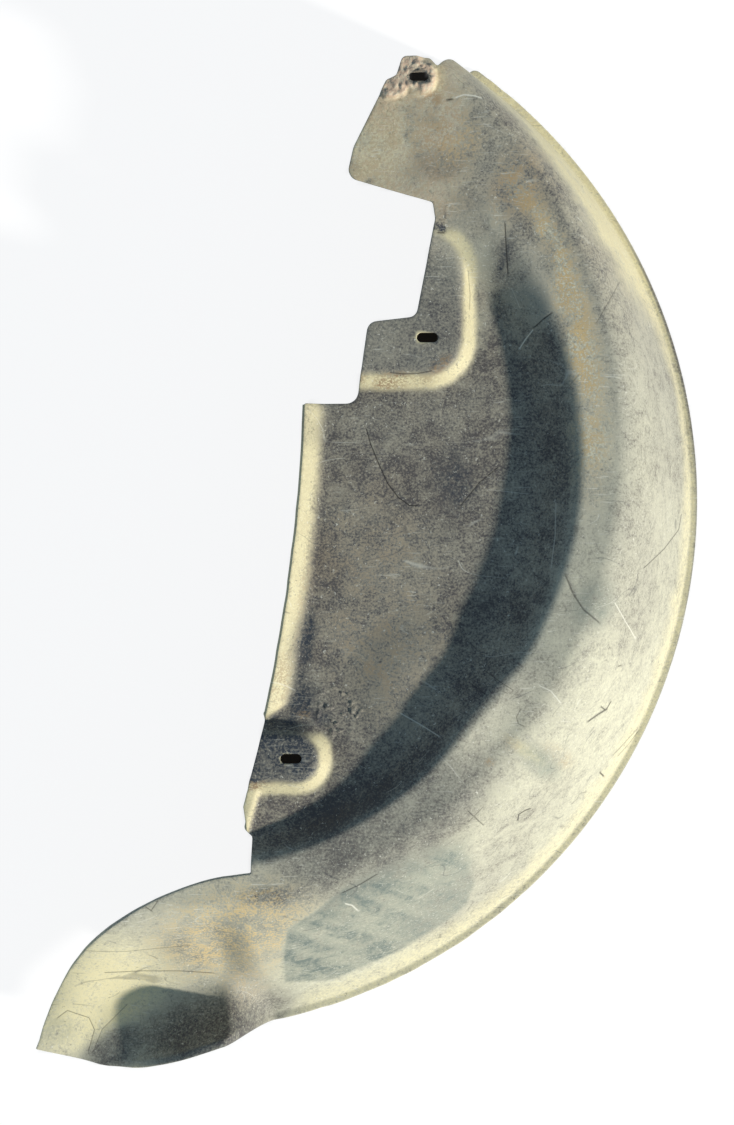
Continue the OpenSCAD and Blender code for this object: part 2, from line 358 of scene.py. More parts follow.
def mud_crust(x, y):
    """Where dried mud is caked: in a ragged ring round the upper slot, thicker on its left
    and below it."""
    ragged = layered_noise(x, y, 6, 31, 3)
    away = slot_distance(x, y, BOSS_AT)
    ring = ease(1.7 - (away - SLOT_W / 2) / (4 + 2.5 * ragged))
    near = blob(x, y, (163, 267), (24, 20), -20) + blob(x, y, (156, 255), (12, 9), 30)
    return np.maximum(ring, ease(2.2 * (np.minimum(near, 1) + 0.35 * ragged - 0.25)))


def crumbs(x, y):
    """Grit and small stones, from nought to one: by the lower seat, and along the corner
    between the panel and the lip."""
    by_seat = blob(x, y, (122, -138), (22, 28), -30) + 0.7 * blob(x, y, (205, -158), (16, 9), 40)
    corner = ease(1 - np.abs(edge_inset(x, y) - LIP_W - 1.5) / 3.5) * ease((-40 - y) / 30)
    corner = corner * ease((y + 150) / 12)
    stones = ease(4 * (value_noise(x, y, 3.1, 61) - 0.42)) + ease(5 * (value_noise(x, y, 2.1, 67) - 0.6))
    return np.minimum(np.maximum(by_seat, 0.6 * corner), 1) * np.minimum(stones, 1)


def rounded_corners(corners):
    """Outline points: each corner, given with its radius, becomes an arc of seven points
    that touches both of its sides. The first and the last only give a direction."""
    out = []
    for i in range(1, len(corners) - 1):
        b, r = np.array(corners[i][:2]), corners[i][2]
        u = np.array(corners[i - 1][:2]) - b
        v = np.array(corners[i + 1][:2]) - b
        u, v = u / np.linalg.norm(u), v / np.linalg.norm(v)
        half = math.acos(float(u @ v)) / 2
        middle = b + (u + v) / np.linalg.norm(u + v) * r / math.sin(half)
        start = b + u * r / math.tan(half) - middle
        sign = np.sign(start[0] * (b + v - middle)[1] - start[1] * (b + v - middle)[0])
        w = sign * np.linspace(0, math.pi - 2 * half, 7)
        turned = np.stack([start[0] * np.cos(w) - start[1] * np.sin(w),
                           start[0] * np.sin(w) + start[1] * np.cos(w)], axis=1)
        out.append(middle + turned)
    return np.concatenate(out)


def edge_x(y):
    """Where the long shallow arc of the inner edge lies."""
    return EDGE_C[0] + np.sqrt(EDGE_R ** 2 - (y - EDGE_C[1]) ** 2)


def spaced(points, step):
    """The same closed line with its points an even step apart."""
    loop = np.vstack([points, points[:1]])
    run = np.concatenate([[0], np.cumsum(np.hypot(*np.diff(loop, axis=0).T))])
    at = np.linspace(0, run[-1], int(run[-1] / step), endpoint=False)
    return np.stack([np.interp(at, run, loop[:, 0]), np.interp(at, run, loop[:, 1])], axis=1)


def trimmed_outline():
    """The sheet's outline in plan, anticlockwise: rim, upper end, tab, notch, inner edge,
    root and tail."""
    turn = np.linspace(RIM_START_A, END_A - RIM_SHORT_A, 500)
    rim = arc((0, 0), edge_radius(turn) + RIM_W - RIM_IN, turn)
    rim_end = arc((0, 0), RIM_R, END_A)
    edge_ends = [(float(edge_x(EDGE_TOP_Y)), EDGE_TOP_Y, 1), (float(edge_x(EDGE_LOW_Y)), EDGE_LOW_Y, 0)]
    tab = [(*rim[-1], 0), (*rim_end, 5), *TAB_CORNERS, *edge_ends]
    edge_y = np.arange(50, -201, -5.0)
    edge = np.stack([edge_x(edge_y), edge_y], axis=1)
    tail = arc(TAIL_C, TAIL_R, np.arange(*TAIL_ARC, 1.5))
    root = [(*edge[-1], 0), *ROOT_CORNERS, (*tail[0], 0)]
    line = np.concatenate([rim, rounded_corners(tab), edge, rounded_corners(root), tail, [TAIL_TIP]])
    ragged = 0.25 * np.stack([value_noise(line[:, 0], line[:, 1], 9, 3),
                              value_noise(line[:, 0], line[:, 1], 9, 4)], axis=1)
    line[:, 1] = np.maximum(line[:, 1], TAIL_LOW_Y)
    return spaced(line + ragged * (line[:, :1] < 250), 1.5)


def slot_outline(at):
    """A screw slot, clockwise: two half circles joined by straight sides. Mud narrows the
    upper one to a ragged hole."""
    w = np.linspace(0, 2 * math.pi, 36, endpoint=False)[::-1] + 0.01
    straight = (SLOT_L - SLOT_W) / 2
    loop = np.stack([straight * np.sign(np.cos(w)) + SLOT_W / 2 * np.cos(w),
                     SLOT_W / 2 * np.sin(w)], axis=1)
    if at == BOSS_AT:
        ragged = value_noise(3 * np.cos(w), 3 * np.sin(w), 2.4, 71)
        loop = loop * (0.94 + 0.1 * ragged)[:, None]
    return loop + at


def outward(loop):
    """Directions square to a closed line, to its right as it runs."""
    along = np.roll(loop, -1, axis=0) - np.roll(loop, 1, axis=0)
    square = np.stack([along[:, 1], -along[:, 0]], axis=1)
    return square / np.linalg.norm(square, axis=1, keepdims=True)


def ring_points(spacing, flank_spacing):
    """Points in plan on rings about the wheel axis, an even arc apart, and closer from
    ring to ring down the steep flank. They reach a little past the outline all round."""
    fine_from = CREST_R - 40
    radii = np.concatenate([np.arange(60, fine_from, spacing),
                            np.arange(fine_from, RIM_R + 20, flank_spacing)])
    rings = []
    for k, r in enumerate(radii):
        step = math.degrees(spacing / r)
        rings.append(arc((0, 0), r, np.arange(-104.5, 64, step) + 0.5 * step * (k % 2)))
    return np.concatenate(rings)


def patch_points():
    """Finer points where there is small relief: the mud round the upper slot, and the grit
    by the lower seat."""
    rows = []
    for x0, x1, y0, y1, step in PATCHES:
        x, y = np.meshgrid(np.arange(x0, x1, step), np.arange(y0, y1, step))
        x = x + 0.5 * step * (np.arange(len(x)) % 2)[:, None]
        rows.append(np.stack([x.ravel(), y.ravel()], axis=1))
    return np.concatenate(rows)


def in_patches(points):
    """Which points lie in a patch that has finer points of its own."""
    x, y = points.T
    return np.any([(x > x0 - step) & (x < x1) & (y > y0 - step) & (y < y1)
                   for x0, x1, y0, y1, step in PATCHES], axis=0)


def nearest(points, others):
    """Distance from each point to the nearest of the others."""
    out = np.empty(len(points))
    for i in range(0, len(points), BATCH):
        batch = points[i:i + BATCH]
        d = np.hypot(batch[:, None, 0] - others[None, :, 0], batch[:, None, 1] - others[None, :, 1])
        out[i:i + BATCH] = d.min(axis=1)
    return out


def inside(points, loop):
    """Which points lie inside a closed line: those with an odd number of its sides to their
    right."""
    x0, y0 = loop.T
    x1, y1 = np.roll(loop, -1, axis=0).T
    out = np.empty(len(points), bool)
    for i in range(0, len(points), BATCH):
        px, py = points[i:i + BATCH, 0, None], points[i:i + BATCH, 1, None]
        spans = (y0 > py) != (y1 > py)
        at = x0 + (py - y0) * (x1 - x0) / np.where(y1 == y0, 1, y1 - y0)
        out[i:i + BATCH] = (spans & (at > px)).sum(axis=1) % 2 == 1
    return out


def triangles_inside(loops, points):
    """Flat triangles that fill the first loop, keep clear of the others, and use the given
    points. The loops' points come first and keep their order."""
    border = np.concatenate(loops)
    points = points[inside(points, loops[0])]
    points = points[nearest(points, border) > LEAST_GAP]
    for loop in loops[1:]:
        points = points[~inside(points, loop)]
    plan = np.concatenate([border, points])
    edges, start = [], 0
    for loop in loops:
        n = len(loop)
        edges += [(start + i, start + (i + 1) % n) for i in range(n)]
        start += n
    result = geometry.delaunay_2d_cdt([Vector(p) for p in plan.tolist()], edges, [], 1, 1e-6, True)
    verts = np.array([tuple(v) for v in result[0]])
    origin = np.array([o[0] for o in result[3]])
    faces = origin[np.array(result[2])]
    spans = (faces < len(border)).all(axis=1)
    middle = plan[faces].mean(axis=1)
    keep = np.ones(len(faces), bool)
    keep[spans] = inside(middle[spans], loops[0])
    for loop in loops[1:]:
        near = spans & (nearest(middle, loop.mean(axis=0)[None]) < SLOT_L)
        keep[near] &= ~inside(middle[near], loop)
    faces = faces[keep]
    a, b, c = plan[faces[:, 0]], plan[faces[:, 1]], plan[faces[:, 2]]
    area = np.cross(b - a, c - a)
    faces[area < 0] = faces[area < 0][:, ::-1]
    assert len(verts) == len(plan), "some outline points fell together"
    return plan, faces


def square_to(x, y, reach):
    """Direction square to the outer face, from its slope over a short reach."""
    dx = (liner_z(x + reach, y)[0] - liner_z(x - reach, y)[0]) / (2 * reach)
    dy = (liner_z(x, y + reach)[0] - liner_z(x, y - reach)[0]) / (2 * reach)
    n = np.stack([-dx, -dy, np.ones_like(dx)], axis=1)
    return n / np.linalg.norm(n, axis=1, keepdims=True)


# Marks on the outer face: width in mm, then how pale (above nought) or dark, then points
MARKS = (
    (0.6, -1.0, (139.5, 42.7), (142.3, 32.7), (147.3, 20.5), (153.1, 7.6), (160.2, -1.7),
     (167.4, -6.8), (173.1, -6.8)),
    (0.6, -0.8, (224.7, 18.2), (212.5, 8.3), (206.1, 0.4), (199.7, -7.5)),
    (0.6, 1.0, (237.6, 93.5), (241.5, 99.5), (246.1, 105.3)),
    (0.7, -0.9, (246.1, 105.8), (251.5, 110.4), (256.8, 114.2)),
    (0.6, -0.8, (355.8, -9.8), (353.0, -20.9), (338.2, -34.1), (318.4, -47.3)),
    (0.9, -0.7, (265.1, -51.4), (270.0, -63.2), (276.7, -73.3), (287.1, -81.6)),
    (0.6, 0.8, (296.9, -68.4), (306.0, -81.0), (316.4, -93.1)),
    (0.5, 0.5, (260.1, -5.3), (259.4, -26.0), (256.4, -47.8)),
    (0.5, -0.5, (302.7, 137.6), (293.0, 122.0), (284.3, 107.2)),
    (0.6, 0.8, (248.4, -120.9), (256.3, -124.7), (263.3, -133.0)),
    (0.6, -0.6, (237.1, -136.7), (234.6, -141.2), (235.9, -145.6), (240.4, -147.5)),
    (0.8, -1.0, (239.1, -213.0), (239.3, -208.3), (243.6, -206.0), (247.9, -205.2)),
    (1.1, -0.9, (283.9, -146.8), (291.2, -142.9), (298.2, -140.1)),
    (0.8, -0.9, (292.8, -137.5), (297.6, -141.0), (301.0, -135.1)),
    (0.8, -0.8, (303.3, -111.1), (306.8, -110.5)),
    (0.7, -0.5, (309.3, -176.1), (319.5, -167.5), (329.7, -158.7)),
    (0.6, -0.5, (313.5, -178.0), (323.0, -169.5), (330.0, -160.7)),
    (0.9, -1.0, (300.0, -187.6), (304.0, -191.5)),
    (0.5, -0.5, (279.2, -208.5), (283.6, -205.4), (285.4, -201.1), (290.3, -201.0)),
    (0.7, -0.7, (204.0, -201.3), (215.4, -213.0)),
    (0.5, -0.6, (214.7, -199.1), (204.6, -209.7)),
    (0.6, -0.7, (-37.0, -319.0), (-10.8, -318.3), (13.0, -318.8), (38.4, -321.4)),
    (0.5, -0.5, (-47.8, -299.2), (-18.5, -300.2), (22.2, -296.7)),
    (0.5, -0.7, (-70.5, -352.7), (-63.4, -347.4), (-49.3, -353.2), (-45.8, -361.7), (-50.2, -377.5)),
    (0.5, -0.5, (-46.8, -377.4), (-40.6, -361.6), (-22.9, -344.0)),
    (0.8, -0.9, (-36.8, -288.3), (-31.0, -282.1), (-25.0, -277.0)),
    (0.6, -0.7, (-3.8, -262.9), (3.2, -268.5)),
    (0.6, -0.7, (1.7, -266.4), (7.7, -257.9)),
    (0.7, -0.8, (123.8, -256.2), (135.5, -250.4), (146.7, -243.3)),
    (0.9, 0.9, (125.4, -264.2), (130.3, -266.1), (134.4, -271.1)),
    (0.6, 0.7, (161.2, -139.7), (186.9, -154.4)),
    # Painted shadow: this dark line stands for the narrow top end of the wall's shadow
    (0.7, -0.9, (226.9, 170.8), (227.8, 156.0), (229.5, 138.7)),
    (0.7, -0.9, (184.3, 165.5), (189.4, 165.5)),
    (0.8, 0.9, (195.5, 249.5), (201.0, 251.5), (208.0, 250.8), (213.0, 249.6)),
    (1.1, -0.9, (190.5, 248.2), (194.6, 249.0)),
    (0.5, -0.6, (214.0, -111.5), (226.0, -120.0), (233.0, -124.5)),
    (0.5, -0.6, (205.5, -120.0), (216.0, -127.5)),
    (0.6, -0.8, (154.0, 77.8), (162.0, 76.9), (172.0, 77.0), (182.0, 78.8)),
    (0.5, -0.5, (204.6, 143.0), (206.0, 128.0), (205.4, 117.0)),
    (0.6, 0.7, (118.0, 96.0), (124.0, 99.5)),
)

# Places where some wear is stronger, or weaker, than round them, and a few where light or shade is painted:
# middle, half sizes, turn, how much of it the fine noise takes away or adds, and how much of each kind of
# wear
SPOTS = (
    ((205, 165), (32, 34), 0, 1, {"faded": 0.45}),
    ((310, -52), (32, 80), 0, 0.6, {"faded": -0.16, "dust": -0.3}),
    ((209, -271), (75, 38), 30, 0.6, {"faded": -0.25, "dust": -0.5}),
    ((28, -303), (70, 36), 15, 0.6, {"faded": -0.12, "dust": -0.25}),
    ((246, -122), (36, 40), 30, 0.6, {"faded": -0.22, "dust": -0.3}),
    # Painted light: paler plastic and dust at the top end of the wall's shadow, where it fades out
    ((241, 122), (26, 50), 0, 0.6, {"faded": 0.55, "dust": 0.1}),
    ((213, 126), (12, 46), 0, 0.6, {"faded": 0.45, "dust": 0.2}),
    ((113, -52), (28, 34), 0, 0.6, {"faded": -0.22}),
    ((113, -116), (28, 24), 0, 0.6, {"faded": -0.12}),
    ((150, 222), (34, 26), 0, 0.6, {"faded": 0.1, "dust": 0.35}),
    ((205, 165), (34, 34), 0, 1, {"dust": 0.35}),
    ((192, 222), (30, 26), 40, 0.75, {"dirt": 0.44}),
    ((84, -118), (7, 24), -12, 0, {"dirt": 0.5}),
    ((181, 249), (9, 7), 0, 0, {"dirt": 0.6}),
    ((231, -158), (9, 7), -40, 0, {"dirt": 0.45}),
    ((218, -170), (5, 4), 0, 0, {"dirt": 0.8}),
    ((75, -262), (30, 16), 0, 0, {"dirt": 0.35}),
    ((236, 196), (40, 26), 60, 1.5, {"dirt": 0.35}),
    ((262, -168), (26, 10), -35, 1.5, {"dirt": 0.35}),
    ((99, -140), (8, 6), 0, 1.5, {"dirt": 0.9}),
    ((66, -186), (20, 5), 5, 1.5, {"dirt": 0.9}),
    ((74, 100), (6, 5), 0, 1.5, {"dirt": 0.9}),
    ((150, 73), (44, 8), 0, 1.5, {"dirt": 0.9}),
    ((187, 83), (12, 6), 40, 1.5, {"dirt": 0.9}),
    ((76, -258), (24, 10), 0, 0, {"grime_and_shade": 0.5}),
    ((186, 207), (24, 15), 0, 1, {"grime_and_shade": 0.5}),
    ((198, 178), (26, 16), 20, 1, {"grime_and_shade": 0.35}),
    ((96, 40), (26, 20), 0, 1, {"grime_and_shade": 0.35}),
    ((110, 62), (30, 12), 10, 1, {"grime_and_shade": 0.35}),
    ((196, 8), (20, 34), 0, 1, {"grime_and_shade": 0.35}),
    ((98, -96), (12, 30), -10, 1, {"grime_and_shade": 0.35}),
    # Painted shadows, in the dark grime colour: the gaps between the lip's end and the lower seat and at
    # that seat's upper left, the shade of the upper seat's top wall, and the narrow top end of the wall's
    # shadow
    ((101, -129), (7, 12), -20, 0.67, {"grime_and_shade": 0.63}),
    ((111, -143), (9, 9), -20, 0.67, {"grime_and_shade": 0.63}),
    ((98, -136), (13, 10), -20, 0.67, {"grime_and_shade": 0.63}),
    ((82, -145), (13, 10), -20, 0.67, {"grime_and_shade": 0.63}),
    ((229, 155), (5, 24), -20, 0.67, {"grime_and_shade": 0.63}),
    ((186, 168), (7, 4), -20, 0.67, {"grime_and_shade": 0.63}),
    ((242, -164), (24, 6), -38, 0, {"cream_and_highlight": 0.4}),
    ((185, 262), (7, 15), 0, 0, {"cream_and_highlight": 0.9}),
    ((196, 222), (26, 22), 40, 0, {"gold": 0.35}),
)

# Bare spots beside the wiped stretch: middle, half sizes, turn, how bare
BARE_SPOTS = (((-69, -361), (17, 13), 20, 0.35), ((252, -172), (26, 13), -40, 0.6),
              ((283, -70), (20, 24), -30, 0.6))

# Noises of the finish: size of the largest forms in mm, detail, roughness, distortion. The
# real grain is finer than a pixel of the render, so it is drawn at 1.5 mm
NOISES = (("grit", 1.5, 3.0, 0.7, 0.0), ("sand", 1.9, 2.0, 0.6, 0.5), ("specks", 1.8, 2.0, 0.6, 0.8),
          ("flecks", 1.7, 2.0, 0.6, 0.8), ("clods", 3.2, 3.0, 0.65, 0.0),
          ("mottled", 10.0, 5.0, 0.68, 0.8), ("cloudy", 42.0, 4.0, 0.6, 0.0))

# Outline of the stretch of the lower hump that has been wiped to a cool grey
WIPED = ((122.0, -253.5), (107.0, -267.8), (87.3, -281.0), (82.8, -303.6), (82.5, -331.7),
         (114.6, -333.0), (162.6, -312.0), (196.1, -290.0), (209.2, -277.6), (213.0, -262.3),
         (216.0, -241.6), (211.3, -211.8), (186.6, -217.7), (161.1, -227.2), (135.5, -239.0))


def mark_points():
    """Rows of points beside each mark, so that the mesh can carry a line that fine."""
    rows = []
    for width, _, *line in MARKS:
        line = np.array(line)
        run = np.concatenate([[0], np.cumsum(np.hypot(*np.diff(line, axis=0).T))])
        at = np.arange(0, run[-1], 0.9)
        mid = np.stack([np.interp(at, run, line[:, 0]), np.interp(at, run, line[:, 1])], axis=1)
        side = outward(mid)
        rows += [mid[1:-1], mid[1:-1] + side[1:-1] * width, mid[1:-1] - side[1:-1] * width]
    return np.concatenate(rows)


def mark_depth(x, y):
    """How pale or dark the marks make each point: full on the line, nought beside it."""
    total = np.zeros_like(x)
    for width, tone, *line in MARKS:
        for p, q in zip(line[:-1], line[1:]):
            d = np.array(q) - np.array(p)
            t = np.clip(((x - p[0]) * d[0] + (y - p[1]) * d[1]) / (d @ d), 0, 1)
            away = np.hypot(x - p[0] - t * d[0], y - p[1] - t * d[1])
            near = np.clip(1 - away / width, 0, 1)
            total = np.where(near > np.abs(total), near * tone, total)
    return total


def wiped_share(x, y):
    """One inside the wiped stretch, falling to nought at its edge, and at the bare
    spots."""
    loop = spaced(np.array(WIPED), 3.0)
    points = np.stack([x, y], axis=1)
    share = np.zeros_like(x)
    close = (x > 70) & (x < 230) & (y < -200)
    soft = 3.0 + 14 * ease((x[close] - 110) / 40) * ease((y[close] + 262) / 20)
    share[close] = inside(points[close], loop) * ease(nearest(points[close], loop) / soft)
    share = share * (0.75 + 0.5 * layered_noise(x * 0.5 + y * 0.87, y * 0.25, 9, 53, 3))
    for at, size, turn, most in BARE_SPOTS:
        share = np.maximum(share, most * blob(x, y, at, size, turn))
    return share


def spotted(zones, kind):
    """How much the spots of one kind of wear add up to."""
    total = np.zeros_like(zones.x)
    for at, size, turn, uneven, much in SPOTS:
        if kind in much:
            spot = blob(zones.x, zones.y, at, size, turn) * (1 + uneven * zones.fine)
            total = total + much[kind] * spot
    return total


class Zones:
    """The zones that wear, and the painted shade and light, are told by, at points in plan: each is one
    well inside and nought outside. The share across the flank q, the direction a and the inset from the
    inner edge place them, and two noises, broad and fine, break the wear up."""

    def __init__(self, x, y):
        self.x, self.y = x, y
        _, q, a, inset = liner_z(x, y)
        self.q, self.a, self.inset = q, a, inset
        self.broad = layered_noise(x, y, 80, 41, 3)
        self.fine = layered_noise(x, y, 14, 47, 3)
        self.panel = ease(well_depth(x, y) / 14) * (1 - 0.8 * ease((y - 140) / 70))
        self.low_flank = ease((a + 100) / 22) * ease((18 - a) / 50) * ease(1.7 - q)
        self.tab = ease((y - 165) / 20) * ease((215 - x) / 30)
        # Painted shadow: the outer strip of the rim's flange, below the upper end, is made darker, less
        # bleached and less dusty, standing for the shadow along the rim's edge
        self.flange = ease((-q - 0.045) / 0.02) * ease((46 - a) / 24)
        self.swept = blob(x, y, (242, -216), (62, 32), 35)
        self.tip = blob(x, y, (-45, -335), (80, 60), 30)
        # Painted shadow: the tail's hollow, and a stretch below it towards the tip, are made dark, bluish
        # and free of dust, standing for the shadow cast into the hollow
        self.hollow = np.maximum(blob(x, y, (34, -358), (80, 34), 12),
                                 0.8 * blob(x, y, (-30, -374), (44, 20), 32))
        self.brown = blob(x, y, (150, -70), (60, 110), 10)
        # Partly painted shade: a greyer, darker band on the flank past the lower wall's shadow, standing
        # for grey grime and for the soft edge of that shadow
        self.lower = np.minimum(blob(x, y, (150, -212), (115, 46), 30) * 1.3, 1) * (1 + 0.5 * self.fine)
        # Painted shade: a spot of the tail that faces the sun gets less dust and some dirt, so that it
        # renders darker
        self.bright = blob(x, y, (58, -330), (24, 24))
        self.lip = ease(1.25 - inset / LIP_W) * ease((62 - y) / 4) * ease((y - lip_end(inset)) / 3)
        self.strip = ease(1.4 - np.abs(q - 0.15) / 0.5) * ease((a - 16) / 16) * ease((58 - a) / 8)
        self.band = ease(1 - np.abs(q - 1.24 - 0.08 * self.fine) / 0.26)
        self.band = self.band * ease((a + 14) / 16) * ease((38 - a) / 14)
        self.wiped = wiped_share(x, y)
        self.tail = blob(x, y, (52, -288), (78, 52), 20) * (1 - ease(2.5 * self.wiped)) * (1 - self.panel)
        frayed = 1.2 * layered_noise(x, y, 4, 73, 2)
        self.hole = ease((SLOT_W / 2 + 1.8 + frayed - slot_distance(x, y, BOSS_AT)) / 1.2)


def fading_and_painted_light(zones):
    """How far the sun has bleached the plastic: most on the flank, least on the panel. It is also lowered
    to paint shade along the rim's outer edge, in the tail's hollow and partly below the lower wall, and
    raised at one spot to paint light at the top end of the wall's shadow.
    """
    faded = lerp(0.68 + 0.12 * ease((34 - zones.a) / 30), 1.0, zones.low_flank) + 0.22 * zones.broad
    faded = lerp(faded, 0.36 + 0.2 * zones.broad + 0.12 * zones.fine, zones.panel)
    faded = lerp(faded, 0.62 + 0.3 * zones.fine, 0.85 * zones.tab)
    faded = faded - 0.3 * zones.flange - 0.12 * zones.swept + 0.3 * zones.tip - 0.6 * zones.hollow
    faded = faded + zones.panel * (0.4 * zones.brown + 0.16 * blob(zones.x, zones.y, (150, -125), (60, 60)))
    for seat, share in zip(SEATS, (0.32, 0.2)):
        faded = faded + share * ease(1 - seat_distance(zones.x, zones.y, seat) / 2)
    return faded - 0.4 * zones.lower + 0.3 * zones.strip + spotted(zones, "faded")


def pale_dust_and_painted_light(zones):
    """Dust that lies on the flank, the tab and the tail's tip. It is taken away to paint shade in the
    tail's hollow, partly below the lower wall, along the rim's outer edge and on a spot that faces the sun,
    and added at one spot to paint light at the top end of the wall's shadow.
    """
    dust = 0.1 + 0.65 * zones.low_flank + 0.2 * zones.broad + 0.12 * zones.fine
    dust = dust * (1 - zones.panel)
    heap = 0.6 + 0.5 * blob(zones.x, zones.y, (142, 215), (26, 40), -20)
    dust = dust + heap * zones.tab * (1 + 1.5 * zones.fine)
    dust = dust * (1 - 0.5 * zones.flange) * (1 - 0.4 * zones.swept) + 1.1 * zones.tip
    dust = dust * (1 - zones.hollow) * (1 - 0.8 * np.minimum(zones.lower, 1)) * (1 - 0.6 * zones.bright)
    return dust + 0.4 * zones.strip + 0.8 * zones.band * (1 + zones.fine) + spotted(zones, "dust")


def cream_dust_and_painted_highlight(zones):
    """Thick dust on the walls of the seats, the lip and the rim. On the seats' walls it is partly a painted
    highlight, and at the left ends of two slots it is a painted highlight of the lit wall inside the hole;
    it is taken away where the tail's hollow has its painted shadow.
    """
    x, y, q, a, fine = zones.x, zones.y, zones.q, zones.a, zones.fine
    cream_and_highlight = 1.1 * zones.lip + 1.1 * foot_strip(y, zones.inset)
    # Partly painted highlight: on the lower seat the cream fades out across the top wall, which faces away
    # from the sun, and on the upper seat it runs round the top corner where the ramp leaves no wall
    for seat, top in zip(SEATS, (171, -150)):
        wall = ease(1.15 - np.abs(seat_distance(x, y, seat) - 5.5 - fine) / 6.2)
        cream_and_highlight = cream_and_highlight + 0.95 * wall * ease((top - y) / 8)
    rim = ease(1.25 - q / (0.14 + 0.14 * ease((a - 8) / 20) + 0.06 * fine)) * ease((a + 100) / 10)
    edge = 0.4 * rim * ease((44 - a) / 10) + 0.95 * zones.strip * (1 + fine)
    heap = 0.2 + 0.5 * blob(x, y, (142, 215), (30, 48), -20)
    cream_and_highlight = cream_and_highlight + edge * (1 - zones.flange) + heap * zones.tab * (1 + 1.5 * fine)
    # Painted highlight: at the left end of the slot in each seat the plastic is made cream, standing for
    # the lit wall inside the hole
    for at in SLOTS[:2]:
        near = ease((SLOT_W / 2 + 1.0 - slot_distance(x, y, at)) / 0.8)
        cream_and_highlight = cream_and_highlight + 0.9 * near * ease((at[0] + 2 - x) / 4)
    return cream_and_highlight + 0.8 * zones.tip - zones.hollow + spotted(zones, "cream_and_highlight")


def caked_mud(zones):
    """The crust round the upper slot, worn off at the hole, and a thin film on the tab."""
    film = 0.3 * zones.tab * (0.8 + 1.2 * zones.fine)
    return np.maximum(mud_crust(zones.x, zones.y), film) * (1 - 0.85 * zones.hole)


def brown_dirt(zones):
    """Dirt along the crest, on the panel's middle, beside the lip and on the upper end, and some on a spot
    of the tail that faces the sun, as painted shade.
    """
    y, fine = zones.y, zones.fine
    dirt = 0.75 * zones.band * (0.9 + 0.9 * fine) + 0.3 * zones.tab + 0.4 * zones.bright
    dirt = dirt + 0.6 * zones.panel * zones.brown * (0.8 + 0.5 * zones.broad + 0.6 * fine)
    beside = ease(1 - np.abs(zones.inset - LIP_W + 2) / 5) * ease((-10 - y) / 60)
    dirt = dirt + 0.7 * zones.lip * beside + 0.15 * zones.panel
    return dirt + 0.2 * ease((y - 60) / 100) * (1 - zones.panel) + spotted(zones, "dirt")


def dark_grime_and_painted_shade(zones):
    """Grime in the corner beside the lip, on the seats and round the hole. The same share paints shade
    along the rim's outer edge, in the tail's hollow, partly below the lower wall, and at the spots that
    stand for shadows.
    """
    x, y, fine = zones.x, zones.y, zones.fine
    grime_and_shade = 0.12 * zones.panel + 0.3 * zones.lower + 0.35 * zones.flange + 0.15 * zones.tab * (1 + 2 * fine)
    corner = ease(1 - np.abs(zones.inset - LIP_W - 5) / 6) * ease((-60 - y) / 30) * ease((y + 152) / 5)
    uneven = 0.6 * corner + 0.3 * zones.tail
    for seat, share in zip(SEATS, (0.2, 0.6)):
        uneven = uneven + share * ease(1 - seat_distance(x, y, seat) / 3)
    return grime_and_shade + uneven * (1 + fine) + 0.4 * zones.hollow + zones.hole + spotted(zones, "grime_and_shade")


def golden_grit(zones):
    """Grit on the tail, along the crest and at the upper end."""
    return (zones.tail + 0.15 * zones.tab + 0.6 * zones.band * (1 + zones.fine)
            + spotted(zones, "gold"))


def wear_masks(x, y):
    """Where each kind of wear lies, as eight shares from nought to one: faded, dust, dirt and grime, then
    wiped, cream dust, mud and gold. The faded, dust, cream dust and grime shares also paint shade and light
    in a few places."""
    zones = Zones(x, y)
    shares = [fading_and_painted_light(zones), pale_dust_and_painted_light(zones), brown_dirt(zones), dark_grime_and_painted_shade(zones), zones.wiped,
              cream_dust_and_painted_highlight(zones), caked_mud(zones), golden_grit(zones)]
    return np.clip(np.stack(shares, axis=1), 0, 1)


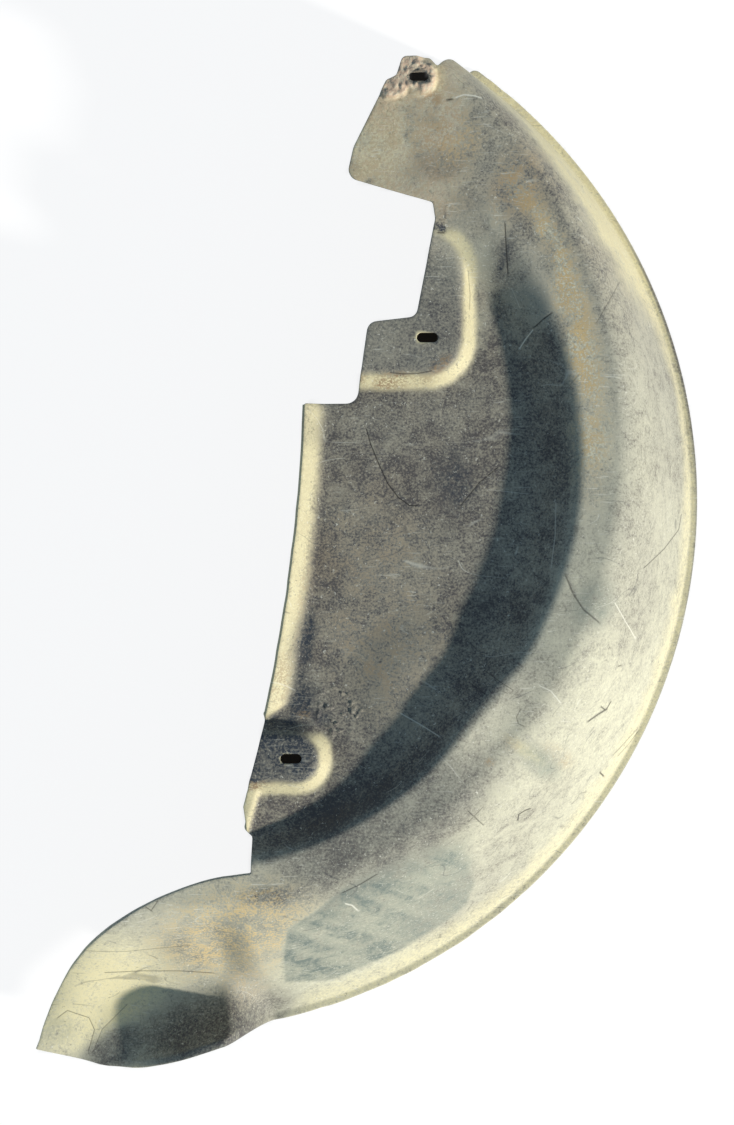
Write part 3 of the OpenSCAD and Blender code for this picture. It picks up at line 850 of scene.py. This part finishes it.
def sheet_mesh(thickness):
    """Points, faces and wear of the whole liner, in the part's frame, in metres.

    The outer skin fills the outline with fine triangles at the heights of warped_z, the
    inner skin with coarser ones a thickness below, square to the outer face, and a rounded
    edge of six rows joins them round the outline and round each slot."""
    outlines = [trimmed_outline()] + [slot_outline(at) for at in SLOTS]
    sides = [outward(loop) for loop in outlines]
    insets = [loop - side * EDGE_ROUND for loop, side in zip(outlines, sides)]
    border = np.concatenate(outlines)
    side = np.concatenate(sides)
    count = len(border)
    marks = mark_points()
    fine_points = ring_points(*OUTER_STEP)
    fine_points = np.concatenate([fine_points[~in_patches(fine_points)], patch_points()])
    fine_points = fine_points[nearest(fine_points, marks) > LEAST_GAP]
    plan, faces = triangles_inside(insets, np.concatenate([marks, fine_points]))
    low_plan, low_faces = triangles_inside(insets, ring_points(*INNER_STEP))

    def skin(points, depth, over):
        """Points at a depth below the outer face, taken square to it as it is at other points."""
        top = np.column_stack([points, warped_z(over[:, 0], over[:, 1])])
        return top - depth * square_to(over[:, 0], over[:, 1], 1.5)

    outer = np.column_stack([plan, warped_z(plan[:, 0], plan[:, 1])])
    outer[:, 2] -= 0.12 * np.abs(mark_depth(plan[:, 0], plan[:, 1]))
    inner = skin(low_plan, thickness, low_plan)
    # Rows round the edge: how far out, as a share of its rounding, and how deep
    rows = []
    for out, depth in ((0.6, 0.12), (0.92, 0.3), (1.0, 0.7), (1.0, thickness - 0.7),
                       (0.92, thickness - 0.3), (0.6, thickness - 0.12)):
        rows.append(skin(border - side * EDGE_ROUND * (1 - out), depth, border - side * EDGE_ROUND))
    points = np.concatenate([outer] + rows + [inner])
    starts = [0] + [len(outer) + count * k for k in range(len(rows) + 1)]
    walls = []
    first = 0
    for loop in outlines:
        i = np.arange(len(loop))
        here, there = first + i, first + (i + 1) % len(loop)
        for upper, lower in zip(starts[:-1], starts[1:]):
            walls.append(np.stack([upper + here, lower + here, upper + there], axis=1))
            walls.append(np.stack([upper + there, lower + here, lower + there], axis=1))
        first += len(loop)
    all_faces = np.concatenate([faces] + walls + [low_faces[:, ::-1] + starts[-1]])
    points[:, 2] = np.maximum(points[:, 2], 0)
    masks = wear_masks(points[:, 0], points[:, 1])
    tone = np.where(np.arange(len(points)) < len(outer), mark_depth(points[:, 0], points[:, 1]), 0)
    placed = np.column_stack([points[:, :2] - BASE, points[:, 2]]) * MM
    return placed, all_faces, masks, tone


def linear(hex_colour):
    """An sRGB colour such as #8a6f52 as linear light, with full opacity."""
    parts = [int(hex_colour[i:i + 2], 16) / 255 for i in (1, 3, 5)]
    return tuple(c / 12.92 if c <= 0.04045 else ((c + 0.055) / 1.055) ** 2.4 for c in parts) + (1,)


def add_node(tree, kind, links=None, **settings):
    """Add a node, give it its settings and sockets, and join its inputs. A link is a socket
    of another node, and any other value is the input's own."""
    node = tree.nodes.new(kind)
    for name, value in settings.items():
        setattr(node, name, value)
    for key, value in (links or {}).items():
        socket = node.inputs[key]
        if isinstance(value, bpy.types.NodeSocket):
            tree.links.new(value, socket)
        else:
            socket.default_value = value
    return node


def weighted(tree, start, parts):
    """A start plus each part times its amount."""
    total = start
    for part, amount in parts:
        total = add_node(tree, "ShaderNodeMath", {0: part, 1: amount, 2: total},
                         operation="MULTIPLY_ADD").outputs[0]
    return total


def product(tree, *shares):
    """Shares multiplied, and kept from nought to one."""
    total = shares[0]
    for share in shares[1:]:
        total = add_node(tree, "ShaderNodeMath", {0: total, 1: share}, operation="MULTIPLY",
                         use_clamp=True).outputs[0]
    return total


def greatest(tree, *shares):
    """The greatest of some shares."""
    total = shares[0]
    for share in shares[1:]:
        total = add_node(tree, "ShaderNodeMath", {0: total, 1: share}, operation="MAXIMUM").outputs[0]
    return total


def swung(tree, level, swings):
    """A level that noises swing, each by half of its amount to either side."""
    return weighted(tree, -sum(amount for _, amount in swings) / 2, ((level, 1), *swings))


def kept_where(tree, share, noise, low, high):
    """The part of a share where a noise is high: nothing of it below low, all above high."""
    kept = add_node(tree, "ShaderNodeMapRange", {"Value": noise, "From Min": low, "From Max": high},
                    interpolation_type="SMOOTHSTEP")
    return product(tree, share, kept.outputs[0])


def coated(tree, base, *coats):
    """A colour with coats of other colours over it, each by its share."""
    for share, coat in coats:
        base = add_node(tree, "ShaderNodeMix", {0: share, 6: base, 7: coat}, data_type="RGBA").outputs[2]
    return base


def scratches(tree, place, turn, long_mm, wide_mm):
    """Thin streaks: noise stretched along one direction, and only its peaks."""
    turned = add_node(tree, "ShaderNodeMapping", {"Vector": place, "Rotation": (0, 0, math.radians(turn)),
                                                  "Scale": (wide_mm / long_mm, 1, 1)})
    streak = add_node(tree, "ShaderNodeTexNoise", {"Vector": turned.outputs[0], "Detail": 1.5,
                                                   "Scale": 1 / (wide_mm * MM), "Roughness": 0.4,
                                                   "Distortion": 0.6})
    return kept_where(tree, 1.0, streak.outputs["Fac"], 0.67, 0.72)


def hairs(tree, place, size_mm, shift, width, turn):
    """Thin, nearly straight lines where a stretched noise passes through its middle, kept
    only where a finer noise is high."""
    moved = add_node(tree, "ShaderNodeMapping", {"Vector": place, "Location": (shift, shift, 0),
                                                 "Rotation": (0, 0, math.radians(turn)),
                                                 "Scale": (0.3, 1, 1)})
    level, where = (add_node(tree, "ShaderNodeTexNoise", {"Vector": moved.outputs[0],
                                                          "Scale": 1 / (size * MM), "Detail": detail,
                                                          "Roughness": rough}).outputs["Fac"]
                    for size, detail, rough in ((size_mm, 1.0, 0.4), (size_mm * 0.4, 2.0, 0.5)))
    off_middle = add_node(tree, "ShaderNodeMath", {0: level, 1: 0.5}, operation="SUBTRACT")
    away = add_node(tree, "ShaderNodeMath", {0: off_middle.outputs[0]}, operation="ABSOLUTE")
    line = add_node(tree, "ShaderNodeMapRange", {"Value": away.outputs[0], "From Max": width,
                                                 "To Min": 1.0, "To Max": 0.0},
                    interpolation_type="SMOOTHSTEP")
    return kept_where(tree, line.outputs[0], where, 0.55, 0.6)


def held_shares(tree, name):
    """The four shares that an attribute of the mesh holds."""
    held = add_node(tree, "ShaderNodeAttribute", attribute_name=name)
    parts = add_node(tree, "ShaderNodeSeparateColor", {"Color": held.outputs["Color"]})
    return (*parts.outputs[:3], held.outputs["Alpha"])


def dusty_plastic(tree, finish, noise, wear, soil):
    """Colour of the bleached plastic under its dust, dirt and grime, and how dusty it is. The same coats
    also paint shade and highlights where their shares carry them.
    """
    faded, dust, dirt, grime_and_shade = wear
    wiped, cream_and_highlight, _, gold = soil
    grit, sand, mottled, cloudy = (noise[name] for name in ("grit", "sand", "mottled", "cloudy"))
    bleached = swung(tree, faded, ((grit, 2.8), (mottled, 2), (cloudy, 1.1)))
    dusty = product(tree, dust, swung(tree, 0.85, ((sand, 2.4), (mottled, 1.8))))
    creamy_and_lit = product(tree, cream_and_highlight, swung(tree, 1.2, ((sand, 3), (mottled, 2))))
    dirty = kept_where(tree, dirt, weighted(tree, grit, ((mottled, 0.8),)), 0.8, 1.0)
    bare = product(tree, wiped, swung(tree, 0.85, ((mottled, 2.5), (grit, 1.2))))
    grimy_and_shaded = product(tree, grime_and_shade, swung(tree, 0.8, ((sand, 3), (mottled, 1.5))))
    gritty = kept_where(tree, gold, weighted(tree, grit, ((mottled, 0.7),)), 0.79, 0.97)
    base = coated(tree, linear(finish.plastic), (bleached, linear(finish.faded)),
                  (dusty, linear(finish.dust)), (creamy_and_lit, linear(finish.cream_and_highlight)),
                  (dirty, linear(finish.dirt)), (bare, linear(finish.wiped)),
                  (grimy_and_shaded, linear(finish.grime_and_shade)), (gritty, linear(finish.gold)))
    return base, dusty


def scuffed_plastic(tree, finish, noise, place, faded, base):
    """The colour with dark and pale specks, scratches and hair lines, and where the pale
    scratches are."""
    specks = kept_where(tree, 0.5, noise["specks"], 0.66, 0.74)
    flecks = kept_where(tree, 0.65, noise["flecks"], 0.65, 0.73)
    streaks = greatest(tree, scratches(tree, place, 38, 14, 0.9), scratches(tree, place, -55, 12, 0.9))
    pale_hairs = greatest(tree, hairs(tree, place, 42, 0.1, 0.005, 35),
                          hairs(tree, place, 33, 0.7, 0.006, -50))
    worn = kept_where(tree, 1.0, noise["cloudy"], 0.38, 0.6)
    streaks = greatest(tree, product(tree, streaks, worn, faded), product(tree, pale_hairs, worn, 0.7))
    cuts = greatest(tree, hairs(tree, place, 35, 0.4, 0.005, 60), hairs(tree, place, 44, 2.6, 0.005, -30))
    scuff, grime_and_shade = linear(finish.scuff), linear(finish.grime_and_shade)
    base = coated(tree, base, (specks, grime_and_shade), (flecks, scuff), (product(tree, streaks, 0.6), scuff),
                  (product(tree, cuts, 0.4), grime_and_shade))
    return base, streaks


def worn_polypropylene(finish):
    """Black talc-filled polypropylene, injection moulded with a fine grain. Years of sun and
    grit have bleached it to grey-green, and dust, dried mud and scuffs lie on it, so it looks
    chalky, with hardly any gloss."""
    material = bpy.data.materials.new("worn_moulded_polypropylene")
    material.use_nodes = True
    tree = material.node_tree
    tree.nodes.clear()
    place = add_node(tree, "ShaderNodeTexCoord").outputs["Object"]
    noise = {name: add_node(tree, "ShaderNodeTexNoise",
                            {"Vector": place, "Scale": 1 / (size_mm * MM), "Detail": detail,
                             "Roughness": rough, "Distortion": warp}).outputs["Fac"]
             for name, size_mm, detail, rough, warp in NOISES}
    wear, soil = held_shares(tree, "wear"), held_shares(tree, "soil")
    mud = soil[2]
    mark = add_node(tree, "ShaderNodeAttribute", attribute_name="mark").outputs["Fac"]

    base, dusty = dusty_plastic(tree, finish, noise, wear, soil)
    base, streaks = scuffed_plastic(tree, finish, noise, place, wear[0], base)
    # Pale clods of mud with dark cracks between them, and dust on top
    clods = kept_where(tree, 1.0, noise["clods"], 0.28, 0.42)
    caked = coated(tree, linear(finish.grime_and_shade), (clods, linear(finish.mud)),
                   (kept_where(tree, 0.5, noise["sand"], 0.48, 0.6), linear(finish.dust)))
    # A mark above nought is pale, and one below nought is dark
    dark = weighted(tree, 0.0, ((mark, -1),))
    base = coated(tree, base, (product(tree, mud, 0.92), caked), (mark, linear(finish.scuff)),
                  (dark, linear(finish.slot)))

    rough = weighted(tree, 0.62, ((dusty, 0.25),))
    lumps = product(tree, mud, noise["clods"])
    height = weighted(tree, 0.0, ((noise["grit"], 0.6), (noise["mottled"], 0.4), (lumps, 3),
                                  (streaks, -0.3)))
    bump = add_node(tree, "ShaderNodeBump", {"Height": height, "Strength": 0.5, "Distance": 0.5 * MM})
    shader = add_node(tree, "ShaderNodeBsdfPrincipled",
                      {"Base Color": base, "Roughness": rough, "IOR": 1.49, "Specular IOR Level": 0.35,
                       "Normal": bump.outputs[0]})
    add_node(tree, "ShaderNodeOutputMaterial", {"Surface": shader.outputs[0]})
    return material


def floor_grid():
    """A square floor as a grid, fine round the liner, with how open each point is: nought in
    the shade that the liner would cast from a lamp 1.3 m above it, one away from it."""
    loop = spaced(trimmed_outline(), 3.0)
    lift = warped_z(loop[:, 0], loop[:, 1])
    shade = LAMP_AT + (loop - LAMP_AT) * (LAMP_Z / (LAMP_Z - lift))[:, None]
    across, along = (np.concatenate([[-FLOOR_FAR], np.arange(*ends, FLOOR_STEP), [FLOOR_FAR]])
                     for ends in (FLOOR_X, FLOOR_Y))
    x, y = (side.ravel() for side in np.meshgrid(across, along))
    points = np.stack([x, y], axis=1)
    depth = nearest(points, shade)
    open_share = np.where(inside(points, shade), ease(1 - depth / SHADE_EDGE), 1.0)
    n, m = len(across), len(along)
    i = (np.arange(m - 1)[:, None] * n + np.arange(n - 1)).ravel()
    faces = np.stack([i, i + 1, i + n + 1, i + n], axis=1)
    placed = np.column_stack([points - BASE, np.full(len(points), FLOOR_Z)]) * MM
    return placed, faces, open_share


def white_paper():
    """Matt white paper. The camera sees it glow white, but dark in the liner's shade."""
    paper = bpy.data.materials.new("white_paper")
    paper.use_nodes = True
    tree = paper.node_tree
    tree.nodes.clear()
    rays = add_node(tree, "ShaderNodeLightPath").outputs
    seen = greatest(tree, *(rays[name] for name in ("Is Camera Ray", "Is Glossy Ray",
                                                    "Is Transmission Ray")))
    bare = add_node(tree, "ShaderNodeAttribute", attribute_name="open").outputs["Fac"]
    # Painted shadow: under the liner the floor is coloured dark brown and loses its glow, so the slots and
    # the space below the liner show dark
    floor_and_painted_shade = coated(tree, linear("#4a3c32"), (bare, linear("#6e6e6e")))
    grey = add_node(tree, "ShaderNodeBsdfDiffuse", {"Color": floor_and_painted_shade})
    glow = add_node(tree, "ShaderNodeEmission", {"Color": (1, 1, 1, 1),
                                                 "Strength": product(tree, bare, 0.9)})
    both = add_node(tree, "ShaderNodeAddShader", {0: grey.outputs[0], 1: glow.outputs[0]})
    matt = add_node(tree, "ShaderNodeBsdfDiffuse", {"Color": linear("#e8e8e8")})
    shown = add_node(tree, "ShaderNodeMixShader", {0: seen, 1: matt.outputs[0], 2: both.outputs[0]})
    add_node(tree, "ShaderNodeOutputMaterial", {"Surface": shown.outputs[0]})
    return paper


def studio_world():
    """Even, cool light from all round, which the camera sees as plain white."""
    world = bpy.data.worlds.new("studio")
    world.use_nodes = True
    tree = world.node_tree
    tree.nodes.clear()
    rays = add_node(tree, "ShaderNodeLightPath")
    sky = add_node(tree, "ShaderNodeBackground", {"Color": (0.52, 0.75, 1.0, 1), "Strength": 0.32})
    white = add_node(tree, "ShaderNodeBackground", {"Color": (1, 1, 1, 1), "Strength": 1.0})
    shown = add_node(tree, "ShaderNodeMixShader", {0: rays.outputs["Is Camera Ray"],
                                                   1: sky.outputs[0], 2: white.outputs[0]})
    add_node(tree, "ShaderNodeOutputWorld", {"Surface": shown.outputs[0]})
    return world


def low_sun():
    """A warm, low sun from the lower right."""
    sun = bpy.data.lights.new("key", "SUN")
    sun.energy = 4.3
    sun.angle = math.radians(3.5)
    sun.color = (1.0, 0.96, 0.88)
    lamp = bpy.data.objects.new("key", sun)
    turn, up = math.radians(SUN_TURN), math.radians(SUN_UP)
    aim = Vector((math.cos(turn) * math.cos(up), math.sin(turn) * math.cos(up), math.sin(up)))
    lamp.rotation_euler = aim.to_track_quat("Z", "Y").to_euler()
    return lamp


def camera_above():
    """A camera that looks straight down on the liner."""
    lens = bpy.data.cameras.new("camera")
    lens.sensor_fit = "VERTICAL"
    lens.sensor_height = 36
    lens.lens = 59.4
    lens.clip_end = 50
    camera = bpy.data.objects.new("camera", lens)
    camera.location = CAMERA_AT
    return camera


def colour(name, what, value):
    """A colour of the finish, as an sRGB hex value that can be edited in the sidebar."""
    return bpy.props.StringProperty(name=name, description="Colour of " + what, default=value)


class LinerFinish(bpy.types.PropertyGroup):
    """Thickness of the liner and the colours of its finish"""

    thickness: bpy.props.FloatProperty(
        name="Thickness", description="Thickness of the moulded sheet, in millimetres",
        default=2.5, min=1.5, max=4.0)
    plastic: colour("Plastic", "the plastic where it is clean and dark", "#5b5653")
    # The faded and dust colours also paint light at the top end of the wall's shadow
    faded: colour("Faded plastic", "the plastic where the sun has bleached it", "#afac9b")
    dust: colour("Dust", "the pale dust", "#d2cfb6")
    # This cream is thick dust, and also the colour of painted highlights on the seats' walls and at the
    # left ends of two slots
    cream_and_highlight: colour("Cream dust", "the dust on walls and edges", "#e4dab0")
    dirt: colour("Dirt", "the brown dirt", "#a38c6c")
    gold: colour("Grit", "the golden grit on the tail", "#d3bc8c")
    mud: colour("Mud", "the caked mud", "#cbb198")
    # This dark blue-grey is grime, and also the colour of painted shadow: at the rim's outer edge, in the
    # tail's hollow, below the lower wall and at the shadow spots
    grime_and_shade: colour("Grime", "the dark grime", "#393f47")
    wiped: colour("Wiped plastic", "the plastic where it has been wiped", "#737d76")
    scuff: colour("Scuff", "a scratch in the plastic", "#e4e2d2")
    # Dark marks take this colour; one of them is a painted shadow, the top end of the wall's shadow
    slot: colour("Deep mark", "a deep dark mark", "#2c2925")


class LINER_OT_sheet(bpy.types.Operator):
    """Make the moulded sheet, with its seats, lip, tab and tail, and give it its finish"""

    bl_idname = "liner.sheet"
    bl_label = "Moulded sheet"

    def execute(self, context):
        finish = context.scene.liner_finish
        points, faces, masks, tone = sheet_mesh(finish.thickness)
        mesh = bpy.data.meshes.new("liner_sheet")
        mesh.from_pydata(points, [], faces)
        mesh.validate()
        mesh.shade_smooth()
        for name, shares in (("wear", masks[:, :4]), ("soil", masks[:, 4:])):
            layer = mesh.attributes.new(name, "FLOAT_COLOR", "POINT")
            layer.data.foreach_set("color", np.ascontiguousarray(shares).ravel())
        mark = mesh.attributes.new("mark", "FLOAT", "POINT")
        mark.data.foreach_set("value", tone)
        mesh.materials.append(worn_polypropylene(finish))
        sheet = bpy.data.objects.new("liner_sheet", mesh)
        context.scene.collection.objects.link(sheet)
        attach(sheet, "root")
        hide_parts("liner")
        return {"FINISHED"}


class LINER_OT_stage(bpy.types.Operator):
    """Make the white floor, the low sun and the camera above the liner"""

    bl_idname = "liner.stage"
    bl_label = "Floor, light and camera"

    def execute(self, context):
        scene = context.scene
        points, faces, open_share = floor_grid()
        mesh = bpy.data.meshes.new("floor")
        mesh.from_pydata(points, [], faces)
        layer = mesh.attributes.new("open", "FLOAT", "POINT")
        layer.data.foreach_set("value", open_share)
        mesh.materials.append(white_paper())
        floor = bpy.data.objects.new("floor", mesh)
        scene.collection.objects.link(floor)
        scene.world = studio_world()
        scene.collection.objects.link(low_sun())
        camera = camera_above()
        scene.collection.objects.link(camera)
        scene.camera = camera
        scene.view_settings.view_transform = "Standard"
        return {"FINISHED"}


class LINER_PT_panel(bpy.types.Panel):
    """Lists the liner's pieces and its finish in the sidebar"""

    bl_idname = "LINER_PT_panel"
    bl_label = "Wheel arch liner"
    bl_space_type = "VIEW_3D"
    bl_region_type = "UI"
    bl_category = "Liner"

    def draw(self, context):
        finish = context.scene.liner_finish
        for name in LinerFinish.__annotations__:
            self.layout.prop(finish, name)
        self.layout.operator(LINER_OT_sheet.bl_idname)
        self.layout.operator(LINER_OT_stage.bl_idname)


CLASSES = (LinerFinish, LINER_OT_sheet, LINER_OT_stage, LINER_PT_panel)


def register():
    for cls in CLASSES:
        bpy.utils.register_class(cls)
    bpy.types.Scene.liner_finish = bpy.props.PointerProperty(type=LinerFinish)


def unregister():
    del bpy.types.Scene.liner_finish
    for cls in reversed(CLASSES):
        bpy.utils.unregister_class(cls)


def main():
    register()
    bpy.ops.liner.sheet()
    bpy.ops.liner.stage()


if __name__ == "__main__":
    main()
